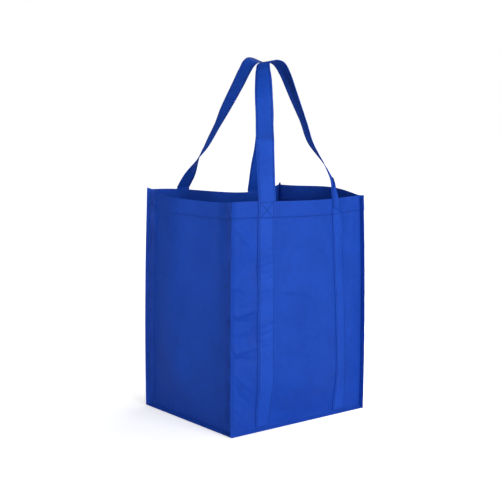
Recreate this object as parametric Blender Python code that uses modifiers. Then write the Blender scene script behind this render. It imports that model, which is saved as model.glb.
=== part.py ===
# A sewn carrier bag of non-woven polypropylene cloth, standing open on its stiffened base.
# Metres, +Z up, origin on the floor under the middle of the base, front towards -Y.
# Four walls meet in outward seams, each wall is hemmed at the rim, and two long straps run
# from the base seam up the outside of the front and back, over the mouth as carrying loops.
import math

import bpy
from mathutils import Vector

# Driving sizes
front_width = 0.315  # seam to seam across the front, at the base
gusset_width = 0.272  # seam to seam across a side, at the base
rim_height = 0.428  # floor to rim at the corners
cloth = 0.0008  # one layer of cloth
layer_gap = 0.0003  # clearance between two layers that lie together
hem_depth = 0.028  # how far the folded hem reaches down inside
hem_gap = 0.0005  # clearance inside the fold of the hem
hem_flare = 0.012  # length over which a corner seam thickens to take the hems
fin_width = 0.009  # seam allowance that stands out at each corner
seam_height = 0.008  # the base seam runs this high above the floor
base_fin_reach = 0.006  # how far the base seam allowance splays outwards
base_fin_end = 0.0010  # height of that allowance's outer edge
turn_up = 0.0035  # width over which the base cloth turns up to its seam
strap_width = 0.0338
strap_thickness = 0.0016  # the strap is folded cloth, several layers thick
strap_foot = 0.0015  # a strap's end above the base seam
strap_stand = 0.005  # a strap rises this far off the rim before it leans
board_thickness = 0.0020
board_margin = 0.0015  # clearance between the board's edge and the turned-up base cloth
board_radius = 0.012

# How many strips each sheet is modelled in
wall_rows = 18
hem_rows = 2
fold_steps = 4
fin_strips = 2
strap_stations = 46

up = Vector((0, 0, 1))

# The four corner seams: place at the base, how far the rim has moved from straight above it,
# the angle from +X at which the seam allowance points, and how far its tip stands above the rim.
corners = {
    "front_left": {"side": (-1, -1), "rim_shift": (0.003, -0.002, 0.001), "fin_angle": 205,
                   "fin_rise": 0.0005},
    "front_right": {"side": (1, -1), "rim_shift": (-0.003, 0.003, -0.005), "fin_angle": -78,
                    "fin_rise": 0.0005},
    "back_right": {"side": (1, 1), "rim_shift": (0.010, -0.009, -0.002), "fin_angle": 45,
                   "fin_rise": 0.0035},
    "back_left": {"side": (-1, 1), "rim_shift": (0.008, -0.002, 0.005), "fin_angle": 135,
                  "fin_rise": 0.003},
}
seam_bow = 0.002  # how far a corner seam bows outwards at mid height
pillow_reach = 0.73  # share of a strapped wall's half width that swells
pillow_softness = 0.10  # how softly the swelling starts

# The four walls, each seen from outside with its left and right corner.
# bulge and rim_bulge push the middle outwards; dip lowers the rim by up to dip["depth"],
# most at dip["at"] and not at all dip["reach"] away from it.
# Dents are (across, up, radius across, radius up, depth), across and up as shares of the wall.
walls = {
    "front_panel": {
        "ends": ("front_left", "front_right"),
        "bulge": 0.024,
        "rim_bulge": 0.019,
        "lean": 0.0,
        "dip": {"depth": 0.0025, "at": 0.6, "reach": 1.6},
        "dents": [(-0.82, 0.72, 0.16, 0.06, 0.0045), (-0.84, 0.42, 0.14, 0.05, 0.0040),
                  (-0.80, 0.10, 0.14, 0.05, 0.0030)],
        "straps": ((-0.56, -0.565), (0.64, 0.555)),
    },
    "right_gusset": {
        "ends": ("front_right", "back_right"),
        "bulge": 0.018,
        "rim_bulge": 0.022,
        "lean": 0.10,
        "dip": {"depth": -0.006, "at": -0.4, "reach": 1.4},
        "dents": [(0.55, 0.55, 0.20, 0.10, 0.003)],
        "straps": (),
    },
    "back_panel": {
        "ends": ("back_right", "back_left"),
        "bulge": 0.024,
        "rim_bulge": 0.009,
        "lean": 0.0,
        "dip": {"depth": 0.0155, "at": -0.6, "reach": 1.6},
        "dents": [(-0.80, 0.60, 0.16, 0.06, 0.004), (0.80, 0.35, 0.16, 0.07, 0.004)],
        "straps": ((-0.60, -0.62), (0.56, 0.51)),
    },
    "left_gusset": {
        "ends": ("back_left", "front_left"),
        "bulge": 0.014,
        "rim_bulge": 0.017,
        "lean": -0.25,
        "dip": {"depth": 0.0058, "at": 0.0, "reach": 4.0},
        "dents": [(0.72, 0.80, 0.14, 0.30, 0.004), (0.30, 0.30, 0.30, 0.10, 0.003)],
        "straps": (),
    },
}

# The free stretch of each carrying loop, from one strap's rim to the other's.
# A point is (along the wall, behind the wall's plane, height above the rim, turn, roll):
# turn is the strap's width direction in degrees from along the wall, roll its tilt.
loop_routes = {
    "front_handle": {
        "wall": "front_panel",
        "route": [
            (-0.075, 0.007, 0.044, -20, 0), (-0.056, 0.035, 0.099, -41, 0),
            (-0.032, 0.066, 0.156, -57, 2), (-0.013, 0.092, 0.210, -69, 2),
            (-0.005, 0.104, 0.237, -77, 3), (0.002, 0.108, 0.248, -85, 4),
            (0.021, 0.109, 0.252, -88, 6), (0.037, 0.106, 0.246, -87, 3),
            (0.046, 0.098, 0.226, -93, 0), (0.052, 0.080, 0.185, -101, 0),
            (0.056, 0.058, 0.141, -110, 0), (0.060, 0.040, 0.099, -113, 0),
            (0.075, 0.017, 0.058, -129, 0), (0.084, 0.003, 0.026, -141, 0),
        ],
    },
    "back_handle": {
        "wall": "back_panel",
        "route": [
            (-0.096, 0.026, 0.043, -6, 0), (-0.091, 0.048, 0.084, -28, 0),
            (-0.081, 0.070, 0.141, -58, 0), (-0.063, 0.094, 0.203, -88, 3),
            (-0.052, 0.106, 0.237, -98, 9), (-0.038, 0.111, 0.251, -97, 13),
            (-0.019, 0.112, 0.255, -87, 17), (-0.007, 0.111, 0.249, -83, 15),
            (0.002, 0.107, 0.233, -84, 6), (0.010, 0.096, 0.207, -86, 0),
            (0.024, 0.073, 0.159, -94, 0), (0.034, 0.061, 0.128, -106, 0),
            (0.046, 0.044, 0.091, -113, 0), (0.057, 0.031, 0.063, -124, 0),
            (0.065, 0.016, 0.030, -152, 0),
        ],
    },
}


def smooth(t):
    t = min(max(t, 0.0), 1.0)
    return t * t * (3 - 2 * t)


def mix(a, b, t):
    return a + (b - a) * t


def mitre(first, second):
    # How far an offset of 1 from both of two planes moves the corner between them
    return (first + second) / (1 + first.dot(second))


def corner_base(name):
    side = corners[name]["side"]
    return Vector((side[0] * front_width / 2, side[1] * gusset_width / 2, seam_height))


def corner_seam(name, v):
    # The seam line at height v, from 0 at the base seam to 1 at the rim
    side = corners[name]["side"]
    shift = Vector(corners[name]["rim_shift"])
    bow = Vector((side[0], side[1], 0)) * seam_bow * 4 * v * (1 - v)
    return corner_base(name) + shift * v + up * (rim_height - seam_height) * v + bow


def fin_direction(name):
    angle = math.radians(corners[name]["fin_angle"])
    return Vector((math.cos(angle), math.sin(angle), 0))


def wall_axes(wall):
    left, right = (corner_base(name) for name in walls[wall]["ends"])
    along = (right - left).normalized()
    outward = Vector((along.y, -along.x, 0))
    return left, right, along, outward


def fin_side(wall, end):
    # The side of the seam allowance on which this wall's layer lies
    _, _, along, outward = wall_axes(wall)
    inwards_along = along if end == 0 else -along
    fin = fin_direction(walls[wall]["ends"][end])
    side = Vector((-fin.y, fin.x, 0))
    return side if side.dot(inwards_along + outward) > 0 else -side


def hem_step():
    return cloth + hem_gap


def layer_offset(v):
    # Half the distance between the two walls' layers in a corner seam
    below_rim = (1 - v) * (rim_height - seam_height)
    hemmed = smooth((hem_depth + hem_flare - below_rim) / hem_flare)
    return (cloth + layer_gap) / 2 + hem_step() * hemmed


def bell(u):
    return math.cos(math.pi / 2 * min(max(u, -1.0), 1.0)) ** 2


def pillow(u):
    # A wall with straps swells between them and stays flat beside them
    swell = 1 - (u / pillow_reach) ** 2
    return (swell + math.hypot(swell, pillow_softness)) / 2


def wall_depth(wall, u, v):
    form = walls[wall]
    size = mix(form["bulge"], form["rim_bulge"], smooth((v - 0.45) / 0.55)) * smooth(v / 0.22)
    depth = size * (pillow(u) if form["straps"] else bell(u - form["lean"] * (1 - u * u)))
    for across, height, wide, tall, deep in form["dents"]:
        depth -= deep * math.exp(-(((u - across) / wide) ** 2) - ((v - height) / tall) ** 2)
    return depth * (1 - u ** 8)


def seam_column(wall, end, v, inset=0.0):
    _, _, _, outward = wall_axes(wall)
    offset = layer_offset(v) - inset
    seam = corner_seam(walls[wall]["ends"][end], v)
    return seam + mitre(fin_side(wall, end), outward) * offset


def wall_point(wall, u, v):
    _, _, _, outward = wall_axes(wall)
    dip = walls[wall]["dip"]
    point = mix(seam_column(wall, 0, v), seam_column(wall, 1, v), (u + 1) / 2)
    sink = dip["depth"] * bell((u - dip["at"]) / dip["reach"]) * (1 - u ** 4) * v * v
    return point + outward * wall_depth(wall, u, v) - up * sink


def wall_normal(wall, u, v):
    step = 0.01
    u_low, u_high = max(u - step, -1), min(u + step, 1)
    v_low, v_high = max(v - step, 0), min(v + step, 1)
    across = wall_point(wall, u_high, v) - wall_point(wall, u_low, v)
    upwards = wall_point(wall, u, v_high) - wall_point(wall, u, v_low)
    return across.cross(upwards).normalized()


def strap_half_share():
    return strap_width / front_width * 0.96  # the wall's slope takes up the rest


def strap_centre(wall, index, v):
    base, rim = walls[wall]["straps"][index]
    return mix(base, rim, smooth(v))


def wall_columns(wall, v):
    # Places across the wall at height v; a strap's edges and middle are columns too
    if not walls[wall]["straps"]:
        count = 13
        return [mix(-1, 1, i / (count - 1)) for i in range(count)]
    half = strap_half_share()
    first, second = strap_centre(wall, 0, v), strap_centre(wall, 1, v)
    stops = [-1, first - half, first, first + half, second - half, second, second + half, 1]
    strips = [3, 1, 1, 6, 1, 1, 3]
    found = [stops[0]]
    for low, high, count in zip(stops, stops[1:], strips):
        found += [mix(low, high, (i + 1) / count) for i in range(count)]
    return found


def wall_levels():
    # Heights of the rows: closer together at the base, where the wall swells out
    hem_line = 1 - hem_depth / (rim_height - seam_height)
    below = wall_rows - hem_rows
    levels = [hem_line * (i / below) ** 1.15 for i in range(below + 1)]
    return levels + [mix(hem_line, 1, (i + 1) / hem_rows) for i in range(hem_rows)]


def base_fin_frame():
    # Direction of the base seam allowance, outwards and down, and the way its face looks
    drop = seam_height - base_fin_end
    length = math.hypot(base_fin_reach, drop)
    return (base_fin_reach, drop), (drop / length, base_fin_reach / length)


def sheet_object(name, points, thickness):
    # A grid of points, rows by columns, as one sheet with a thickness
    rows, columns = len(points), len(points[0])
    faces = []
    for r in range(rows - 1):
        for c in range(columns - 1):
            first = r * columns + c
            faces.append((first, first + 1, first + columns + 1, first + columns))
    mesh = bpy.data.meshes.new(name)
    mesh.from_pydata([tuple(p) for row in points for p in row], [], faces)
    mesh.shade_smooth()
    sheet = bpy.data.objects.new(name, mesh)
    solid = sheet.modifiers.new("thickness", "SOLIDIFY")
    solid.thickness = thickness
    solid.offset = 0
    solid.use_even_offset = True
    return sheet


def make_wall(name):
    _, _, _, outward = wall_axes(name)
    ends = walls[name]["ends"]
    levels = wall_levels()
    fins = [(fin_strips - i) / fin_strips for i in range(fin_strips)]
    face = base_fin_frame()[1]
    drop = seam_height - base_fin_end

    def fin_points(end, v, inset, lift):
        side, along = fin_side(name, end), fin_direction(ends[end])
        seam = corner_seam(ends[end], v) + side * (layer_offset(v) - inset)
        rise = corners[ends[end]]["fin_rise"] * smooth((v - 0.93) / 0.07)
        return [seam + along * fin_width * t + up * (rise * t + lift) for t in fins]

    def row(v, inset, lift):
        middle = []
        columns = wall_columns(name, v)
        for i, u in enumerate(columns):
            if i in (0, len(columns) - 1):
                point = seam_column(name, 0 if i == 0 else 1, v, inset)
            else:
                point = wall_point(name, u, v) - wall_normal(name, u, v) * inset
            middle.append(point + up * lift)
        return fin_points(0, v, inset, lift) + middle + fin_points(1, v, inset, lift)[::-1]

    half = (cloth + layer_gap) / 2
    base = row(0, 0, 0)
    tips = fins + [0] * len(wall_columns(name, 0)) + fins[::-1]

    def allowance(share):
        # The base seam allowance, which fans round into the corner allowance at each end
        found = []
        for point, tip in zip(base, tips):
            flare = outward * (1 - tip)
            end = point + flare * (base_fin_reach - half + face[0] * half)
            out = max(abs(end.x) - front_width / 2, abs(end.y) - gusset_width / 2)
            lowest = seam_height - drop * min(out / base_fin_reach, 1) + 4 * cloth * tip * (1 - tip)
            place = point + flare * (base_fin_reach * share - half + face[0] * half)
            place.z = mix(seam_height, lowest, share) + face[1] * half
            found.append(place)
        return found

    rows = [allowance(1.0), allowance(0.5)]
    for v in levels:
        rows.append(row(v, 0, 0))
    radius = hem_step() / 2
    for i in range(1, fold_steps):
        angle = math.pi * i / fold_steps
        rows.append(row(1, radius * (1 - math.cos(angle)), radius * math.sin(angle)))
    for v in reversed(levels[-hem_rows - 1:]):
        rows.append(row(v, hem_step(), 0))
    return sheet_object(name, rows, cloth)


def make_bottom():
    # The base cloth: flat on the floor, turned up to its seam all round, then down into the allowance
    half = (cloth + layer_gap) / 2
    (reach, drop), face = base_fin_frame()
    flat = cloth / 2
    crest = (-half, seam_height - half * face[1] / (1 + face[0]))
    tip = (reach - half * face[0], base_fin_end - half * face[1])
    halfway = ((crest[0] + tip[0]) / 2, (crest[1] + tip[1]) / 2)
    foot = (-half - turn_up, flat)
    profile = [foot, crest, halfway, tip]

    def height(out):
        for (a, low), (b, high) in zip(profile, profile[1:]):
            if out <= a:
                return low
            if out <= b:
                return mix(low, high, (out - a) / (b - a))
        return profile[-1][1]

    def lines(half_width):
        outer = [half_width + p[0] for p in profile]
        inner = [outer[0] * t for t in (-0.5, 0.0, 0.5)]
        return [-x for x in reversed(outer)] + inner + outer

    xs, ys = lines(front_width / 2), lines(gusset_width / 2)
    points = []
    for y in ys:
        rim = [max(abs(x) - front_width / 2, abs(y) - gusset_width / 2) for x in xs]
        points.append([Vector((x, y, height(out))) for x, out in zip(xs, rim)])
    return sheet_object("bottom_panel", points, cloth)


def spline(points, t):
    # Catmull-Rom through the points, t from 0 to 1
    last = len(points) - 1
    i = min(int(t * last), last - 1)
    f = t * last - i
    a = points[max(i - 1, 0)]
    b, c = points[i], points[i + 1]
    d = points[min(i + 2, last)]
    return [0.5 * (2 * q + (r - p) * f + (2 * p - 5 * q + 4 * r - s) * f * f
                   + (3 * q - p - 3 * r + s) * f ** 3) for p, q, r, s in zip(a, b, c, d)]


def strap_offset():
    return cloth / 2 + layer_gap + strap_thickness / 2


def sewn_rows(wall, index, levels):
    # A strap where it lies on the wall, its three columns on the wall's own columns
    half = strap_half_share()
    rows = []
    for v in levels:
        centre = strap_centre(wall, index, v)
        rows.append([wall_point(wall, u, v) + wall_normal(wall, u, v) * strap_offset()
                     for u in (centre - half, centre, centre + half)])
    return rows


def make_handle(name):
    wall = loop_routes[name]["wall"]
    left, right, along, outward = wall_axes(wall)
    middle = (left + right) / 2
    levels = wall_levels()
    levels[0] = strap_foot / (rim_height - seam_height)
    rising = sewn_rows(wall, 0, levels)
    falling = sewn_rows(wall, 1, levels)

    def stand(rows, sign):
        # Where the strap has just left the rim: point and turn of its width
        upwards = (rows[-1][1] - rows[-2][1]).normalized()
        across = (rows[-1][2] - rows[-1][0]).normalized() * sign
        turn = math.degrees(math.atan2(-across.dot(outward), across.dot(along)))
        lifted = rows[-1][1] + upwards * strap_stand
        inwards = -(lifted - middle).dot(outward)
        return (lifted - middle).dot(along), inwards, lifted.z - rim_height, turn, 0

    start = stand(rising, 1)
    finish = stand(falling, -1)
    finish = finish[:3] + (finish[3] - 360 if finish[3] > 0 else finish[3], 0)
    route = [start] + loop_routes[name]["route"] + [finish]
    stations = [spline(route, i / (strap_stations - 1)) for i in range(strap_stations)]
    centres = [Vector((middle.x, middle.y, 0)) + along * s[0] - outward * s[1]
               + up * (rim_height + s[2]) for s in stations]
    loop = []
    for i, (centre, station) in enumerate(zip(centres, stations)):
        ahead = centres[min(i + 1, strap_stations - 1)] - centres[max(i - 1, 0)]
        ahead.normalize()
        turn, roll = math.radians(station[3]), math.radians(station[4])
        level = along * math.cos(turn) - outward * math.sin(turn)
        across = level * math.cos(roll) + up * math.sin(roll)
        across = (across - ahead * across.dot(ahead)).normalized()
        loop.append([centre + across * strap_width / 2 * s for s in (-1, 0, 1)])
    falling = [row[::-1] for row in reversed(falling)]
    return sheet_object(name, rising + loop + falling, strap_thickness)


def make_board():
    # A loose stiffener that keeps the base flat
    inner = (cloth + layer_gap) / 2 + turn_up + board_margin + cloth
    bpy.ops.mesh.primitive_cube_add(size=1)
    board = bpy.context.object
    board.name = "base_board"
    board.dimensions = (front_width - 2 * inner, gusset_width - 2 * inner, board_thickness)
    board.location.z = cloth + layer_gap + board_thickness / 2
    bpy.ops.object.transform_apply(location=False, rotation=False, scale=True)
    weights = board.data.attributes.new("bevel_weight_edge", "FLOAT", "EDGE")
    for edge in board.data.edges:
        a, b = (board.data.vertices[i].co for i in edge.vertices)
        weights.data[edge.index].value = 1.0 if abs(a.z - b.z) > board_thickness / 2 else 0.0
    rounding = board.modifiers.new("corner_radius", "BEVEL")
    rounding.limit_method = "WEIGHT"
    rounding.width = board_radius
    rounding.segments = 5
    return board


def material(name, colour, roughness):
    made = bpy.data.materials.new(name)
    made.use_nodes = True
    shader = made.node_tree.nodes["Principled BSDF"]
    shader.inputs["Base Color"].default_value = (*colour, 1)
    shader.inputs["Roughness"].default_value = roughness
    shader.inputs["Metallic"].default_value = 0
    return made


def main():
    for item in list(bpy.data.objects):
        bpy.data.objects.remove(item)
    bag = bpy.data.collections.new("carrier_bag")
    bpy.context.scene.collection.children.link(bag)
    wall_cloth = material("wall_cloth", (0.025, 0.070, 0.420), 0.75)
    strap_cloth = material("strap_cloth", (0.030, 0.085, 0.470), 0.70)
    board_plastic = material("board_plastic", (0.020, 0.022, 0.028), 0.55)
    pieces = [(make_wall(name), wall_cloth) for name in walls]
    pieces.append((make_bottom(), wall_cloth))
    pieces += [(make_handle(name), strap_cloth) for name in loop_routes]
    pieces.append((make_board(), board_plastic))
    for piece, look in pieces:
        for holder in list(piece.users_collection):
            holder.objects.unlink(piece)
        bag.objects.link(piece)
        piece.data.materials.append(look)


main()
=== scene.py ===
import math

import bpy
import numpy as np
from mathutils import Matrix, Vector, noise


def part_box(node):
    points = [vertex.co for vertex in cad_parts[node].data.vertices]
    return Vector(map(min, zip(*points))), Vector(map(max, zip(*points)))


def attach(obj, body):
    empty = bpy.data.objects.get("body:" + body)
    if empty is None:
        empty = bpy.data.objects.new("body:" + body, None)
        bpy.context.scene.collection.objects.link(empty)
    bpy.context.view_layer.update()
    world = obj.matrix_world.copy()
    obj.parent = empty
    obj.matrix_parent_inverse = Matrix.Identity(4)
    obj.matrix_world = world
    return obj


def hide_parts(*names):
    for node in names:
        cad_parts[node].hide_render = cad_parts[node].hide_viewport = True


# A sewn carrier bag of blue non-woven cloth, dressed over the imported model.
# Metres, +Z up, front towards -Y.
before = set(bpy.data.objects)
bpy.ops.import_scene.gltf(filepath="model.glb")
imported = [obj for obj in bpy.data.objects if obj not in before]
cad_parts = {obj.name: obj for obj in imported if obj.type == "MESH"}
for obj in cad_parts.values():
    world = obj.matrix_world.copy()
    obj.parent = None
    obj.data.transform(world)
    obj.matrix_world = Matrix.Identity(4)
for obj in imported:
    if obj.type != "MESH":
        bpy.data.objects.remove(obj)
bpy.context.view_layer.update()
print("frame loaded:", len(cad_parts), "nodes")

bagCut = {
    "frontWidth": 0.315,      # seam to seam across the front, at the base
    "gussetWidth": 0.272,     # seam to seam across a side
    "rimHeight": 0.428,       # floor to rim at the corners
    "seamHeight": 0.008,      # the base seam runs this high above the floor
    "cloth": 0.0006,          # one layer
    "layerGap": 0.0002,
    "hemDepth": 0.0305,
    "hemGap": 0.0005,
    "hemFlare": 0.004,
    "hemStitch": 0.0290,      # stitch line below the rim
    "finWidth": 0.009,        # seam allowance that stands out at each corner
    "baseAllowance": 0.009,
    "baseFinReach": 0.006,
    "baseFinEnd": 0.0010,
    "turnUp": 0.0035,
    "seamBow": 0.002,
    "hollowCentre": 0.011,    # where a wall draws in, from its corner seam
    "hollowReach": 0.0075,
    "pillowReach": 0.73,      # share of a strapped wall's half width that swells
    "pillowSoftness": 0.10,
    "rowStep": 0.0023,        # how fine the cloth is meshed
    "columnStep": 0.0029,
    "pucker": 0.00045,        # ripple beside the sewn lines
    "drape": 0.0014,          # slow unevenness of a whole wall
    "crumple": 0.00022,       # small unevenness
    "baseWave": 0.12,         # how unevenly the base seam allowance flares
}

corners = {
    "frontLeft": {"side": (-1, -1), "rimShift": (0.003, -0.002, 0.001), "finAngle": 205, "finRise": 0.0005},
    "frontRight": {"side": (1, -1), "rimShift": (-0.003, 0.003, -0.005), "finAngle": -78, "finRise": 0.0005},
    "backRight": {"side": (1, 1), "rimShift": (0.010, -0.009, -0.002), "finAngle": 45, "finRise": 0.0035},
    "backLeft": {"side": (-1, 1), "rimShift": (0.008, -0.002, 0.005), "finAngle": 135, "finRise": 0.003},
}

# Each wall seen from outside. Dents are (across, up, radius across, radius up, depth) as shares;
# creases run from one place to another in millimetres from the left seam and the base seam,
# then depth, width above the line and width below it. A negative depth is a ridge.
# hollow is how far the cloth draws in beside its left and right seam.
walls = {
    "front_panel": {
        "piece": "frontWall", "ends": ("frontLeft", "frontRight"),
        "bulge": 0.024, "rimBulge": 0.019, "lean": 0.0, "dip": (0.0025, 0.6, 1.6),
        "dents": [(-0.82, 0.72, 0.16, 0.06, 0.0060), (-0.84, 0.42, 0.14, 0.05, 0.0062),
                  (-0.80, 0.10, 0.14, 0.05, 0.0045)],
        "straps": ((-0.56, -0.565), (0.64, 0.555)), "hollow": (0.0006, 0.0012),
        "creases": [(0, 378, 44, 330, -3.8, 12, 5), (2, 262, 30, 250, 3.0, 4, 9),
                    (0, 216, 54, 222, -3.8, 9, 4), (0, 206, 46, 203, 2.8, 4, 10),
                    (0, 147, 52, 153, -4.0, 9, 4), (0, 137, 50, 132, 3.2, 4, 11),
                    (0, 112, 46, 70, -2.8, 8, 5), (0, 92, 36, 46, 2.5, 4, 8),
                    (4, 180, 40, 184, -2.3, 7, 4), (2, 240, 40, 232, -2.1, 6, 4),
                    (6, 46, 34, 14, -2.1, 6, 4), (98, 256, 178, 246, -1.7, 7, 5),
                    (150, 168, 196, 158, -1.1, 6, 5), (120, 330, 190, 345, 1.3, 12, 16),
                    (150, 60, 240, 50, -1.3, 14, 8), (100, 140, 170, 128, -1.1, 9, 5),
                    (96, 300, 130, 372, 1.5, 10, 7), (250, 360, 312, 330, -1.5, 9, 6)],
        "seed": 3,
    },
    "right_gusset": {
        "piece": "rightWall", "ends": ("frontRight", "backRight"),
        "bulge": 0.018, "rimBulge": 0.022, "lean": 0.10, "dip": (-0.006, -0.4, 1.4),
        "dents": [(0.55, 0.55, 0.20, 0.10, 0.003)],
        "straps": (), "hollow": (0.0014, 0.0016),
        "creases": [(0, 330, 60, 300, -1.4, 10, 6), (272, 250, 210, 225, -1.5, 9, 6),
                    (0, 120, 70, 150, 1.2, 9, 9), (272, 70, 215, 110, 1.4, 8, 8)],
        "seed": 11,
    },
    "back_panel": {
        "piece": "backWall", "ends": ("backRight", "backLeft"),
        "bulge": 0.024, "rimBulge": 0.009, "lean": 0.0, "dip": (0.0155, -0.6, 1.6),
        "dents": [(-0.80, 0.60, 0.16, 0.06, 0.004), (0.80, 0.35, 0.16, 0.07, 0.004)],
        "straps": ((-0.60, -0.62), (0.56, 0.51)), "hollow": (0.0014, 0.0014),
        "creases": [(0, 290, 48, 262, -1.8, 9, 5), (0, 205, 50, 212, 1.7, 5, 9),
                    (315, 180, 268, 170, -2.0, 9, 5), (315, 110, 270, 140, 1.5, 5, 9),
                    (110, 240, 200, 232, -0.8, 9, 6)],
        "seed": 19,
    },
    "left_gusset": {
        "piece": "leftWall", "ends": ("backLeft", "frontLeft"),
        "bulge": 0.014, "rimBulge": 0.017, "lean": -0.25, "dip": (0.0058, 0.0, 4.0),
        "dents": [(0.72, 0.80, 0.14, 0.30, 0.004), (0.30, 0.30, 0.30, 0.10, 0.003)],
        "straps": (), "hollow": (0.0048, 0.0056),
        "creases": [(272, 350, 236, 300, 1.0, 8, 8), (272, 205, 225, 196, 1.4, 6, 10),
                    (272, 130, 220, 120, 1.2, 6, 10), (0, 250, 60, 236, 0.9, 10, 10),
                    (20, 398, 34, 300, 0.9, 6, 6)],
        "seed": 27,
    },
}

up = np.array((0.0, 0.0, 1.0))


def mix(a, b, t):
    return a + (b - a) * t


def smooth(t):
    t = np.clip(t, 0.0, 1.0)
    return t * t * (3 - 2 * t)


def bell(u):
    return np.cos(math.pi / 2 * np.clip(u, -1.0, 1.0)) ** 2


def unit(a):
    return a / np.linalg.norm(a, axis=-1, keepdims=True)


def column(a):
    return np.asarray(a, float)[..., None]  # so that it multiplies directions


def wander(seed, x, y, scale):
    # Smooth unevenness between about -1 and 1 over a grid of places
    flatX, flatY = np.ravel(x) / scale, np.ravel(y) / scale
    found = [noise.noise(Vector((a, b, seed * 7.31))) for a, b in zip(flatX, flatY)]
    return np.reshape(found, np.shape(x))


def ripple(seed, x, scale):
    # The same along one line, by table so that it is quick
    table = np.array([noise.noise(Vector((i * 0.25, seed * 3.17, 1.7))) for i in range(1200)])
    return np.interp(np.asarray(x) / scale + 20, np.arange(1200) * 0.25, table)


# The corner seams and the wall surfaces
def wallTall():
    return bagCut["rimHeight"] - bagCut["seamHeight"]


def halfLayer():
    return (bagCut["cloth"] + bagCut["layerGap"]) / 2


def overhang(x, y):
    # How far out of the base's seam line a place lies
    return np.maximum(np.abs(x) - bagCut["frontWidth"] / 2, np.abs(y) - bagCut["gussetWidth"] / 2)


def cornerBase(name):
    side = corners[name]["side"]
    return np.array((side[0] * bagCut["frontWidth"] / 2, side[1] * bagCut["gussetWidth"] / 2,
                     bagCut["seamHeight"]))


def cornerSeam(name, v):
    side = np.array((*corners[name]["side"], 0.0))
    shift = np.array(corners[name]["rimShift"])
    v = column(v)
    return cornerBase(name) + shift * v + up * wallTall() * v + side * bagCut["seamBow"] * 4 * v * (1 - v)


def finDirection(name):
    angle = math.radians(corners[name]["finAngle"])
    return np.array((math.cos(angle), math.sin(angle), 0.0))


def wallAxes(wall):
    left, right = (cornerBase(end) for end in walls[wall]["ends"])
    along = unit(right - left)
    return left, right, along, np.array((along[1], -along[0], 0.0))


def finSide(wall, end):
    _, _, along, outward = wallAxes(wall)
    inwards = along if end == 0 else -along
    fin = finDirection(walls[wall]["ends"][end])
    side = np.array((-fin[1], fin[0], 0.0))
    return side if side @ (inwards + outward) > 0 else -side


def hemStep():
    return bagCut["cloth"] + bagCut["hemGap"]


def layerOffset(v):
    below = (1 - v) * wallTall()
    hemmed = smooth((bagCut["hemDepth"] + bagCut["hemFlare"] * 0.1 - below) / bagCut["hemFlare"])
    return halfLayer() + hemStep() * hemmed


def wallDepth(wall, u, v):
    form = walls[wall]
    size = mix(form["bulge"], form["rimBulge"], smooth((v - 0.45) / 0.55)) * smooth(v / 0.22)
    if form["straps"]:
        swell = 1 - (u / bagCut["pillowReach"]) ** 2
        depth = size * (swell + np.hypot(swell, bagCut["pillowSoftness"])) / 2
    else:
        depth = size * bell(u - form["lean"] * (1 - u * u))
    for across, height, wide, tall, deep in form["dents"]:
        depth = depth - deep * np.exp(-(((u - across) / wide) ** 2) - ((v - height) / tall) ** 2)
    return depth * (1 - u ** 8)


def wallSize(wall):
    left, right, _, _ = wallAxes(wall)
    return np.linalg.norm(right - left), wallTall()


def wallRelief(wall, u, v):
    # What use and sewing do to the cloth: slow drape, creases, ripples beside the seams
    form = walls[wall]
    wide, tall = wallSize(wall)
    a, h = (u + 1) / 2 * wide, v * tall
    relief = bagCut["drape"] * wander(form["seed"], a, h, 0.075)
    relief = relief + bagCut["crumple"] * wander(form["seed"] + 1, a, h * 0.8, 0.013)
    for a0, h0, a1, h1, deep, above, below in form["creases"]:
        start, end = np.array((a0, h0)) / 1000, np.array((a1, h1)) / 1000
        length = np.hypot(*(end - start))
        way = (end - start) / length
        share = ((a - start[0]) * way[0] + (h - start[1]) * way[1]) / length
        off = (h - start[1]) * way[0] - (a - start[0]) * way[1]
        off = off if way[0] > 0 else -off
        off = off + 0.0015 * ripple(form["seed"], share * length, 0.012)
        reach = np.where(off > 0, above, below) / 1000
        fade = smooth((share + 0.12) / 0.3) * smooth((1.15 - share) / 0.55)
        relief = relief - deep / 1000 * np.exp(-((off / reach) ** 2)) * fade
    for deep, away in zip(form["hollow"], (a, wide - a)):
        off = (away - bagCut["hollowCentre"]) / bagCut["hollowReach"]
        relief = relief - deep * np.exp(-(off ** 2)) * smooth(h / 0.04)
    fromSeam = np.minimum(a, wide - a)
    gather = ripple(form["seed"] + 2, h + (a > wide / 2) * 1.3, 0.0065)
    relief = relief + bagCut["pucker"] * 2.2 * gather * np.exp(-fromSeam / 0.009)
    fromHem = np.abs((1 - v) * tall - bagCut["hemStitch"])
    gather = ripple(form["seed"] + 4, a, 0.006)
    relief = relief + bagCut["pucker"] * gather * np.exp(-fromHem / 0.006)
    relief = relief - 0.00035 * np.exp(-((fromHem / 0.0011) ** 2))
    gather = ripple(form["seed"] + 6, a, 0.007)
    relief = relief + bagCut["pucker"] * 1.6 * gather * np.exp(-h / 0.010)
    return relief * smooth(h / 0.004) * smooth(fromSeam / 0.0035)


def seamColumn(wall, end, v, inset=0.0):
    _, _, _, outward = wallAxes(wall)
    side = finSide(wall, end)
    lean = (side + outward) / (1 + side @ outward)
    return cornerSeam(walls[wall]["ends"][end], v) + lean * column(layerOffset(v) - inset)


def wallPoint(wall, u, v):
    _, _, _, outward = wallAxes(wall)
    depth, at, reach = walls[wall]["dip"]
    point = mix(seamColumn(wall, 0, v), seamColumn(wall, 1, v), column((u + 1) / 2))
    sink = depth * bell((u - at) / reach) * (1 - u ** 4) * v * v
    return point + outward * column(wallDepth(wall, u, v) + wallRelief(wall, u, v)) - up * column(sink)


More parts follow.
